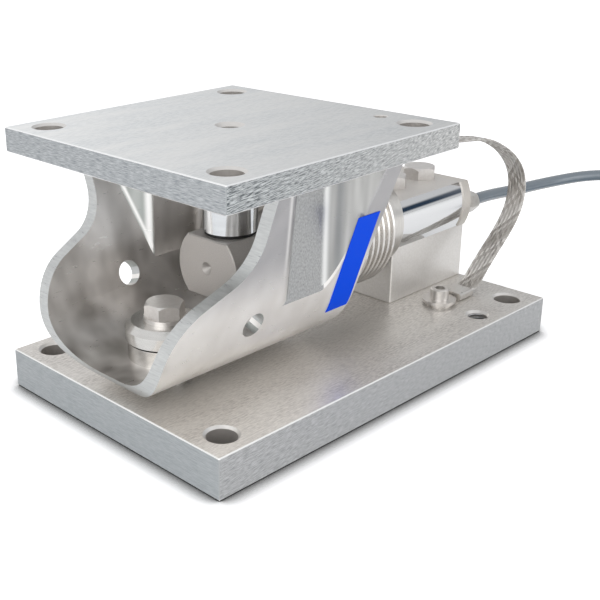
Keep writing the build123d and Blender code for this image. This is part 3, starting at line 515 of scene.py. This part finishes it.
def braid_tree(material):
    """A flat braid on a curve: bundles of wires go both ways round a flat tube, over and under each other."""
    sizes = (
        ("Width", "Float", 0.012),
        ("Thickness", "Float", 0.002),
        ("Carriers", "Int", 12),
        ("Wires", "Int", 3),
        ("Wire Radius", "Float", 0.00026),
        ("Turns", "Float", 6.0),
        ("Steps", "Int", 330),
    )
    tree, given = geometry_tree("Flat Braid", sizes)
    known = {name: given[name] for name, _, _ in sizes}
    wires = {0: known["Carriers"], 1: known["Wires"]}
    wires = node(tree, "ShaderNodeMath", wires, operation="MULTIPLY").outputs[0]
    wires = node(tree, "ShaderNodeMath", {0: wires, 1: 2.0}, operation="MULTIPLY").outputs[0]
    line = node(tree, "GeometryNodeCurvePrimitiveLine", {"End": (1.0, 0.0, 0.0)})
    points = node(tree, "GeometryNodeResampleCurve", {"Curve": line.outputs[0], "Count": known["Steps"]})
    copies = {"Geometry": points.outputs[0], "Amount": wires}
    copies = node(tree, "GeometryNodeDuplicateElements", copies, domain="SPLINE")
    known["index"] = copies.outputs["Duplicate Index"]
    known["along"] = node(tree, "GeometryNodeSplineParameter").outputs["Factor"]
    for result, operation, *terms in BRAID_SUMS:
        terms = {place: known.get(term, term) for place, term in enumerate(terms)}
        known[result] = node(tree, "ShaderNodeMath", terms, operation=operation).outputs[0]
    # Each wire's points go beside and above their place on the route
    sample = {"Curves": given["Curve"], "Factor": known["along"]}
    sample = node(tree, "GeometryNodeSampleCurve", sample, mode="FACTOR", use_all_curves=True)
    flat = node(tree, "ShaderNodeCombineXYZ", {1: 1.0}).outputs[0]
    out = {0: sample.outputs["Tangent"], 1: flat}
    out = node(tree, "ShaderNodeVectorMath", out, operation="CROSS_PRODUCT").outputs[0]
    beside, above = (
        node(tree, "ShaderNodeVectorMath", {0: way, "Scale": reach}, operation="SCALE").outputs[0]
        for way, reach in ((flat, known["across"]), (out, known["height"]))
    )
    offset = node(tree, "ShaderNodeVectorMath", {0: beside, 1: above}, operation="ADD").outputs[0]
    place = {0: sample.outputs["Position"], 1: offset}
    place = node(tree, "ShaderNodeVectorMath", place, operation="ADD").outputs[0]
    placed = node(tree, "GeometryNodeSetPosition", {"Geometry": copies.outputs[0], "Position": place})
    tone = node(tree, "FunctionNodeRandomValue", {2: 0.0, 3: 1.0, "ID": known["family"], "Seed": 4})
    tone = {"Geometry": placed.outputs[0], "Name": "wire_tone", "Value": tone.outputs[1]}
    placed = node(tree, "GeometryNodeStoreNamedAttribute", tone, data_type="FLOAT", domain="CURVE")
    section = {"Resolution": 4, "Radius": known["Wire Radius"]}
    section = node(tree, "GeometryNodeCurvePrimitiveCircle", section)
    woven = {"Curve": placed.outputs[0], "Profile Curve": section.outputs[0], "Fill Caps": True}
    woven = node(tree, "GeometryNodeCurveToMesh", woven)
    close_tree(tree, woven.outputs[0], material)
    return tree


def thread_tree(material):
    """The ridge of a screw thread: one spiral with a three-sided section, down the wall of a hole."""
    sizes = (
        ("Mouth", "Vector", (0, 0, 0)),
        ("Hole Radius", "Float", 0.0051),
        ("Ridge", "Float", 0.0006),
        ("Turns", "Float", 9.0),
        ("Depth", "Float", 0.0165),
    )
    tree, given = geometry_tree("Screw Thread", sizes)
    spiral = {
        "Resolution": 28,
        "Rotations": given["Turns"],
        "Start Radius": given["Hole Radius"],
        "End Radius": given["Hole Radius"],
        "Height": given["Depth"],
    }
    spiral = node(tree, "GeometryNodeCurveSpiral", spiral)
    placed = {"Geometry": spiral.outputs[0], "Translation": given["Mouth"]}
    placed = node(tree, "GeometryNodeTransform", placed)
    ridge = node(tree, "GeometryNodeCurvePrimitiveCircle", {"Resolution": 3, "Radius": given["Ridge"]})
    swept = {"Curve": placed.outputs[0], "Profile Curve": ridge.outputs[0], "Fill Caps": True}
    swept = node(tree, "GeometryNodeCurveToMesh", swept)
    close_tree(tree, swept.outputs[0], material)
    return tree


def spline_object(name, points, radius=0.0):
    """A smooth curve with the points as its control points, round if it has a radius."""
    curve = bpy.data.curves.new(name, "CURVE")
    curve.dimensions = "3D"
    spline = curve.splines.new("NURBS")
    spline.points.add(len(points) - 1)
    for point, place in zip(spline.points, points):
        point.co = (*place, 1.0)
    spline.order_u = 3
    spline.use_endpoint_u = True
    spline.resolution_u = 6
    curve.bevel_depth = radius
    curve.bevel_resolution = 6
    curve.use_fill_caps = radius > 0
    made = bpy.data.objects.new(name, curve)
    bpy.context.scene.collection.objects.link(made)
    return made


def coil_points(diameter):
    """A flat coil of two layers: the upper one winds in, the lower one winds out."""
    # The spline cuts inside its control points, so they lie a little further out
    widen = 1 / math.cos(math.pi / COIL_STEPS)
    points = []
    for step in range(2 * COIL_TURNS * COIL_STEPS + 1):
        turn = step / COIL_STEPS
        whole = min(int(turn), 2 * COIL_TURNS - 1)
        part = turn - whole
        upper = whole < COIL_TURNS
        ring = whole if upper else 2 * COIL_TURNS - 1 - whole
        radius = COIL_RADIUS - ring * diameter
        height = diameter * 1.5 if upper else diameter * 0.5
        moved_in = max(0.0, (part - MOVE_IN_FROM) / MOVE_SHARE)
        moved_out = min(1.0, max(0.0, (part - MOVE_OUT_FROM) / MOVE_SHARE))
        if upper and ring < COIL_TURNS - 1:
            radius -= diameter * moved_in
        elif upper:
            height -= diameter * moved_in
        else:
            radius += diameter * moved_out
        angle = math.pi / 2 - 2 * math.pi * turn
        reach = radius * widen
        x = COIL_CENTRE.x + reach * math.cos(angle)
        y = COIL_CENTRE.y + reach * math.sin(angle)
        points.append((x, y, height))
    return points


def aim_camera(scene):
    """Looks at the module from the photograph's side, with its lens and crop."""
    data = bpy.data.cameras.new("product_camera")
    camera = bpy.data.objects.new("product_camera", data)
    scene.collection.objects.link(camera)
    level = math.cos(CAMERA_ELEVATION)
    back = Vector(
        (
            level * math.sin(CAMERA_AZIMUTH),
            -level * math.cos(CAMERA_AZIMUTH),
            math.sin(CAMERA_ELEVATION),
        )
    )
    right = (-back).cross(Vector((0, 0, 1))).normalized()
    up = right.cross(-back)
    across = right * math.cos(CAMERA_ROLL) + up * math.sin(CAMERA_ROLL)
    upward = up * math.cos(CAMERA_ROLL) - right * math.sin(CAMERA_ROLL)
    camera.location = CAMERA_TARGET + back * CAMERA_DISTANCE
    camera.rotation_euler = Matrix((across, upward, back)).transposed().to_euler()
    data.sensor_width = SENSOR_MM
    data.lens = FOCAL_PIXELS / PICTURE_PIXELS * SENSOR_MM
    data.shift_x = (PICTURE_PIXELS / 2 - AXIS_PIXEL[0]) / PICTURE_PIXELS
    data.shift_y = (AXIS_PIXEL[1] - PICTURE_PIXELS / 2) / PICTURE_PIXELS
    data.clip_start = 0.01
    scene.camera = camera


def lay_floor(scene):
    """Matt white paper. The camera sees it lit past white, so that only deeper real shade shows on it, and a
    painted contact shadow darkens it in the thin line where steel meets it."""
    mesh = bpy.data.meshes.new("studio_floor")
    ways = (-FLOOR_REACH, FLOOR_REACH)
    mesh.from_pydata([(x, y, -FLOOR_GAP) for x in ways for y in ways], [], [(0, 2, 3, 1)])
    floor = bpy.data.objects.new("studio_floor", mesh)
    scene.collection.objects.link(floor)
    paper, tree, shader = new_material("studio_paper", roughness=0.9, metallic=0.0)
    shader.inputs["Specular IOR Level"].default_value = 0.0
    # Painted contact shadow: ambient occlusion darkens the paper's colour to dark grey where steel stands
    # close
    painted_contact_shadow = node(tree, "ShaderNodeAmbientOcclusion", {"Distance": 0.012}, samples=8)
    painted_contact_shadow = {"Value": painted_contact_shadow.outputs["AO"], "From Min": 0.45, "From Max": 0.97}
    painted_contact_shadow = node(tree, "ShaderNodeMapRange", painted_contact_shadow).outputs["Result"]
    shown = {0: painted_contact_shadow, 6: "#3C3D3E", 7: PAPER_SHOWN}
    shown = node(tree, "ShaderNodeMix", shown, data_type="RGBA").outputs[2]
    seen = node(tree, "ShaderNodeLightPath").outputs["Is Camera Ray"]
    colour = {0: seen, 6: tuple(scene.module_colours.floor), 7: shown}
    colour = node(tree, "ShaderNodeMix", colour, data_type="RGBA").outputs[2]
    tree.links.new(colour, shader.inputs["Base Color"])
    mesh.materials.append(paper)


def light_world(scene):
    """Soft light from all round, a little weaker overhead and much weaker from the right. A dark flag low on
    the right gives polished steel its dark line, and the camera sees plain white."""
    world = bpy.data.worlds.new("studio_world")
    world.use_nodes = True
    scene.world = world
    tree = world.node_tree
    sky = node(tree, "ShaderNodeTexCoord")
    sky = node(tree, "ShaderNodeSeparateXYZ", {0: sky.outputs["Generated"]}).outputs
    ramps = []
    for stops in (SKY_STOPS, FLAG_STOPS):
        ramp = node(tree, "ShaderNodeValToRGB", {0: sky["Z"]})
        elements = ramp.color_ramp.elements
        elements.remove(elements[1])
        elements[0].position = stops[0][0]
        elements[0].color = linear(stops[0][1])
        for height, tone in stops[1:]:
            elements.new(height).color = linear(tone)
        ramps.append(ramp.outputs[0])
    walls, flag = ramps
    right, side = (
        node(tree, "ShaderNodeMapRange", limits).outputs["Result"]
        for limits in (
            {"Value": sky["X"], "From Min": 0.4, "From Max": 0.95, "To Max": 0.6},
            {"Value": sky["Y"], "From Min": -0.45, "From Max": -0.6},
        )
    )
    flag = node(tree, "ShaderNodeMath", {0: flag, 1: side}, operation="MULTIPLY").outputs[0]
    seen = node(tree, "ShaderNodeLightPath").outputs["Is Camera Ray"]
    for mask, over in ((right, "#777B80"), (flag, "#2A3A4C"), (seen, "#FFFFFF")):
        walls = node(tree, "ShaderNodeMix", {0: mask, 6: walls, 7: over}, data_type="RGBA").outputs[2]
    backdrop = tree.nodes["Background"]
    tree.links.new(walls, backdrop.inputs["Color"])
    backdrop.inputs["Strength"].default_value = 1.0


def hang_softboxes(scene):
    """Hangs the softboxes, each turned to the module."""
    for name, place, side, power in SOFTBOXES:
        lamp = bpy.data.lights.new(name, "AREA")
        lamp.size = side
        lamp.energy = power
        softbox = bpy.data.objects.new(name, lamp)
        softbox.location = place
        aim = LIT_POINT - Vector(place)
        softbox.rotation_euler = aim.to_track_quat("-Z", "Y").to_euler()
        scene.collection.objects.link(softbox)


class ModuleSizes(bpy.types.PropertyGroup):
    """Sizes that a user may change."""

    cable_diameter: bpy.props.FloatProperty(
        name="Cable Diameter",
        description="Outer diameter of the signal cable",
        default=0.007,
        unit="LENGTH",
    )
    strap_width: bpy.props.FloatProperty(
        name="Strap Width",
        description="Width of the ground strap's flat braid",
        default=0.012,
        unit="LENGTH",
    )
    strap_thickness: bpy.props.FloatProperty(
        name="Strap Thickness",
        description="Thickness of the flat braid",
        default=0.002,
        unit="LENGTH",
    )
    strap_carriers: bpy.props.IntProperty(
        name="Strap Bundles",
        description="Bundles of wires that run each way round the braid",
        default=12,
        min=4,
        max=16,
    )
    strap_wires: bpy.props.IntProperty(
        name="Wires per Bundle",
        description="Wires side by side in each bundle",
        default=3,
        min=1,
        max=6,
    )


class ModuleColours(bpy.types.PropertyGroup):
    """Colours that a user may change."""

    label: bpy.props.FloatVectorProperty(
        name="Label",
        description="Film on the yoke's wall",
        subtype="COLOR",
        size=4,
        default=linear("#0048DA"),
        min=0,
        max=1,
    )
    sheath: bpy.props.FloatVectorProperty(
        name="Cable Sheath",
        description="Outer sheath of the cable",
        subtype="COLOR",
        size=4,
        default=linear("#646F78"),
        min=0,
        max=1,
    )
    floor: bpy.props.FloatVectorProperty(
        name="Floor",
        description="Pale studio floor",
        subtype="COLOR",
        size=4,
        default=linear("#FFFFFF"),
        min=0,
        max=1,
    )


class MODULE_OT_plates(bpy.types.Operator):
    """Finishes the base plate, the load plate and the spacer block"""

    bl_idname = "module.plates"
    bl_label = "Plates and Block"

    def execute(self, context):
        base_finish = ground_plate(
            "ground_base_plate",
            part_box("base_plate"),
            face=("#E6E2DD", "#BFBBB6", "#E6E3DE"),
            shade="#FFFFFF",
            ends=("#9A9FA2", "#B2B6B8"),
            sides=("#98999A", "#C2C3C4"),
            far_sides=("#9C9E9F", "#BCBDBE"),
            rim_highlight="#F2F2F0",
            corner="#A9ABAC",
            depth_mm=0.004,
        )
        dress(["base_plate"], base_finish)
        load_finish = ground_plate(
            "ground_load_plate",
            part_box("top_plate"),
            face=("#F5F7F7", "#E2E5E6", "#FBFBF9"),
            # Painted reflection: the load plate's ground faces darken to this grey towards the right corner
            shade="#DDDDDD",
            ends=("#878C90", "#C3C6C8"),
            sides=("#50565A", "#C9CDCE"),
            far_sides=("#8C8E8E", "#D8D8D7"),
            rim_highlight="#F4F5F5",
            corner="#989C9E",
            depth_mm=0.03,
        )
        dress(["top_plate"], load_finish)
        # Face-milled block: even and pale, with a soft shine
        tones = ("#DEDBD7", "#E9E7E4")
        block_finish = satin_steel("milled_block_steel", tones, 0.38, (1.0, 1.0, 1.0), metallic=0.75)
        dress(["spacer_block"], block_finish)
        # Freshly cut thread: a little darker than the plate round it, with sharp glints
        cut = satin_steel("cut_thread_steel", ("#A5A5A5", "#C6C6C6"), 0.3, (1.0, 1.0, 1.0))
        start = spline_object("thread_start", [(0, 0, 0), (0, 0, 0.001), (0, 0, 0.002)])
        thread = tree_result("jack_hole_thread", thread_tree(cut), {"Mouth": JACK_HOLE_FOOT}, start)
        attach(thread, "root")
        return {"FINISHED"}


class MODULE_OT_yoke(bpy.types.Operator):
    """Finishes the yoke and its bare label"""

    bl_idname = "module.yoke"
    bl_label = "Yoke and Label"

    def execute(self, context):
        dress(["yoke"], yoke_sheet())
        # Printed polyester film: an even deep colour with hardly any shine
        film, _, shader = new_material("printed_label_film", roughness=0.45, metallic=0.0)
        shader.inputs["Base Color"].default_value = context.scene.module_colours.label
        shader.inputs["Specular IOR Level"].default_value = 0.05
        dress(["label"], film)
        return {"FINISHED"}


class MODULE_OT_cell(bpy.types.Operator):
    """Finishes the load cell, its end cap, gauges, bellows and collars"""

    bl_idname = "module.cell"
    bl_label = "Load Cell and Bellows"

    def execute(self, context):
        dress(["load_cell_body"], cell_bar())
        # Blasted cap: matt, and a shade paler than the bar
        tones = ("#D2CDC6", "#DCD8D2")
        dress(["cell_end_cap"], satin_steel("matt_cap_steel", tones, 0.42, (0.6, 0.6, 0.6), metallic=0.85))
        # Thin formed sheet: bright waves with clear lines of light
        tones = ("#DAD7D3", "#E4E2DF")
        dress(["bellows"], satin_steel("formed_bellows_steel", tones, 0.2, (3.0, 3.0, 3.0)))
        # Turned collars: a satin shine that runs round them
        tones = ("#D2CFCA", "#DEDCD8")
        collar = satin_steel("turned_collar_steel", tones, 0.3, (1.0, 4.0, 4.0))
        dress(["bellows_front_collar", "bellows_rear_collar"], collar)
        dress(["strain_gauges"], even_finish("gauge_foil", ("#B9803A", "#A8722F"), 0.35))
        return {"FINISHED"}


class MODULE_OT_bearing(bpy.types.Operator):
    """Finishes the rocker pin, its discs, the cup and the seal"""

    bl_idname = "module.bearing"
    bl_label = "Rocker Pin Bearing"

    def execute(self, context):
        # Hardened and polished to a mirror for rolling contact: dark and light reflections with sharp edges
        tones = ("#D3D6D9", "#DEE1E3")
        mirror = satin_steel("mirror_polished_steel", tones, 0.1, (9.0, 9.0, 3.0), depth_mm=0.0005)
        dress(["rocker_pin", "lower_bearing_insert", "upper_bearing_insert", "bearing_cup"], mirror)
        dress(["pin_seal"], even_finish("seal_rubber", ("#121212", "#1A1A1A"), 0.6))
        return {"FINISHED"}


class MODULE_OT_hold_down(bpy.types.Operator):
    """Finishes the hold-down set and the clamp bolts"""

    bl_idname = "module.hold_down"
    bl_label = "Hold-down and Bolts"

    def execute(self, context):
        # Turned and polished: bright, with soft-edged reflections of what is round it
        polished = satin_steel("polished_collar_steel", ("#D2D1CE", "#DEDDDA"), 0.18, (8.0, 8.0, 2.0))
        dress(["hold_down_boss", "hold_down_spacer", "hold_down_collar"], polished)
        # Forged and tumbled: plain heads with broad, slightly uneven highlights
        tones = ("#D2CECA", "#DFDCD9")
        bolt = satin_steel("forged_bolt_steel", tones, 0.34, (2.0, 2.0, 2.0), metallic=0.85)
        dress(["hold_down_bolt", "clamp_bolts", "hold_down_washer"], bolt)
        return {"FINISHED"}


class MODULE_OT_strap(bpy.types.Operator):
    """Weaves the ground strap and finishes its lugs, washers and screws"""

    bl_idname = "module.strap"
    bl_label = "Ground Strap"

    def execute(self, context):
        sizes = context.scene.module_sizes
        # Tinned copper wire: dull pale metal, some wires duller than others
        tinned, tree, shader = new_material("tinned_copper_wire", roughness=0.32, metallic=0.9)
        tone = node(tree, "ShaderNodeAttribute", attribute_name="wire_tone").outputs["Fac"]
        tone = node(tree, "ShaderNodeMix", {0: tone, 6: "#99938C", 7: "#FAF8F5"}, data_type="RGBA").outputs[2]
        tree.links.new(tone, shader.inputs["Base Color"])
        route = spline_object("strap_route", [(x, STRAP_Y, z) for x, z in STRAP_ROUTE])
        values = {
            "Width": sizes.strap_width,
            "Thickness": sizes.strap_thickness,
            "Carriers": sizes.strap_carriers,
            "Wires": sizes.strap_wires,
        }
        braid = tree_result("ground_strap_braid", braid_tree(tinned), values, route)
        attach(braid, "root")
        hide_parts("ground_strap")
        # Tinned copper tube, crimped and flattened: soft pale shine
        tones = ("#D0CDC8", "#DDDAD6")
        lug = satin_steel("tinned_lug", tones, 0.28, (2.0, 2.0, 2.0), metallic=0.9)
        dress(["strap_lug_upper", "strap_lug_lower"], lug)
        # Cold-headed screws and stamped washers: plain steel with soft highlights
        tones = ("#D0CDC9", "#DCD9D6")
        plain = satin_steel("plain_screw_steel", tones, 0.3, (2.0, 2.0, 2.0), metallic=0.85)
        dress(["strap_screw_upper", "strap_screw_lower", "strap_washer_upper", "strap_washer_lower"], plain)
        return {"FINISHED"}


class MODULE_OT_cable(bpy.types.Operator):
    """Makes the signal cable with its coil, and finishes the gland and the bare leads"""

    bl_idname = "module.cable"
    bl_label = "Signal Cable"

    def execute(self, context):
        diameter = context.scene.module_sizes.cable_diameter
        # Nickel on turned brass: a slightly warm, satin shine
        tones = ("#D0CDC8", "#DCDAD6")
        nickel = satin_steel("nickel_plated_brass", tones, 0.3, (2.0, 2.0, 2.0), metallic=0.85)
        dress(["gland_body", "gland_nut"], nickel)
        # Tinned leads, drawn thin: dull pale wire
        leads = satin_steel("tinned_lead_wire", ("#C8C5C0", "#D4D1CD"), 0.3, (1.0, 1.0, 1.0))
        dress(["cable_leads"], leads)
        # Extruded polyurethane: smooth and glossy, with faint waves along it
        sheath, tree, shader = new_material("polyurethane_sheath", roughness=0.22, metallic=0.0)
        shader.inputs["Base Color"].default_value = context.scene.module_colours.sheath
        shader.inputs["Coat Weight"].default_value = 1.0
        shader.inputs["Coat Roughness"].default_value = 0.12
        waves = {"Height": grain(tree, (9.0, 9.0, 9.0), 1.0), "Strength": 0.2, "Distance": 0.0002}
        tree.links.new(node(tree, "ShaderNodeBump", waves).outputs["Normal"], shader.inputs["Normal"])
        points = CABLE_START + coil_points(diameter) + CABLE_END
        cable = spline_object("signal_cable_cord", points, diameter / 2)
        cable.data.materials.append(sheath)
        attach(cable, "root")
        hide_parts("signal_cable", "cable_coil", "cable_end")
        return {"FINISHED"}


class MODULE_OT_stage(bpy.types.Operator):
    """Sets the camera, the lamps, the world and the pale floor"""

    bl_idname = "module.stage"
    bl_label = "Stage"

    def execute(self, context):
        scene = context.scene
        scene.view_settings.view_transform = "Standard"
        for step in (aim_camera, lay_floor, light_world, hang_softboxes):
            step(scene)
        return {"FINISHED"}


class MODULE_PT_panel(bpy.types.Panel):
    """Lists the steps that dress the module"""

    bl_idname = "MODULE_PT_panel"
    bl_label = "Weighing Module"
    bl_space_type = "VIEW_3D"
    bl_region_type = "UI"
    bl_category = "Weighing Module"

    def draw(self, context):
        column = self.layout.column()
        for step in STEPS:
            column.operator(step.bl_idname)
        for group in (context.scene.module_sizes, context.scene.module_colours):
            for name in group.__annotations__:
                column.prop(group, name)


# The camera and the cable come first
STEPS = (
    MODULE_OT_stage,
    MODULE_OT_cable,
    MODULE_OT_strap,
    MODULE_OT_plates,
    MODULE_OT_yoke,
    MODULE_OT_cell,
    MODULE_OT_bearing,
    MODULE_OT_hold_down,
)
CLASSES = (ModuleSizes, ModuleColours, *STEPS, MODULE_PT_panel)


def register():
    """Adds the settings, the steps and the panel."""
    for group in CLASSES:
        bpy.utils.register_class(group)
    bpy.types.Scene.module_sizes = bpy.props.PointerProperty(type=ModuleSizes)
    bpy.types.Scene.module_colours = bpy.props.PointerProperty(type=ModuleColours)


def unregister():
    """Takes them away again."""
    del bpy.types.Scene.module_colours
    del bpy.types.Scene.module_sizes
    for group in reversed(CLASSES):
        bpy.utils.unregister_class(group)


def main():
    """Dresses the module."""
    register()
    for step in STEPS:
        operator = getattr(bpy.ops.module, step.bl_idname.split(".")[1])
        operator()
    bpy.context.view_layer.update()


if __name__ == "__main__":
    main()
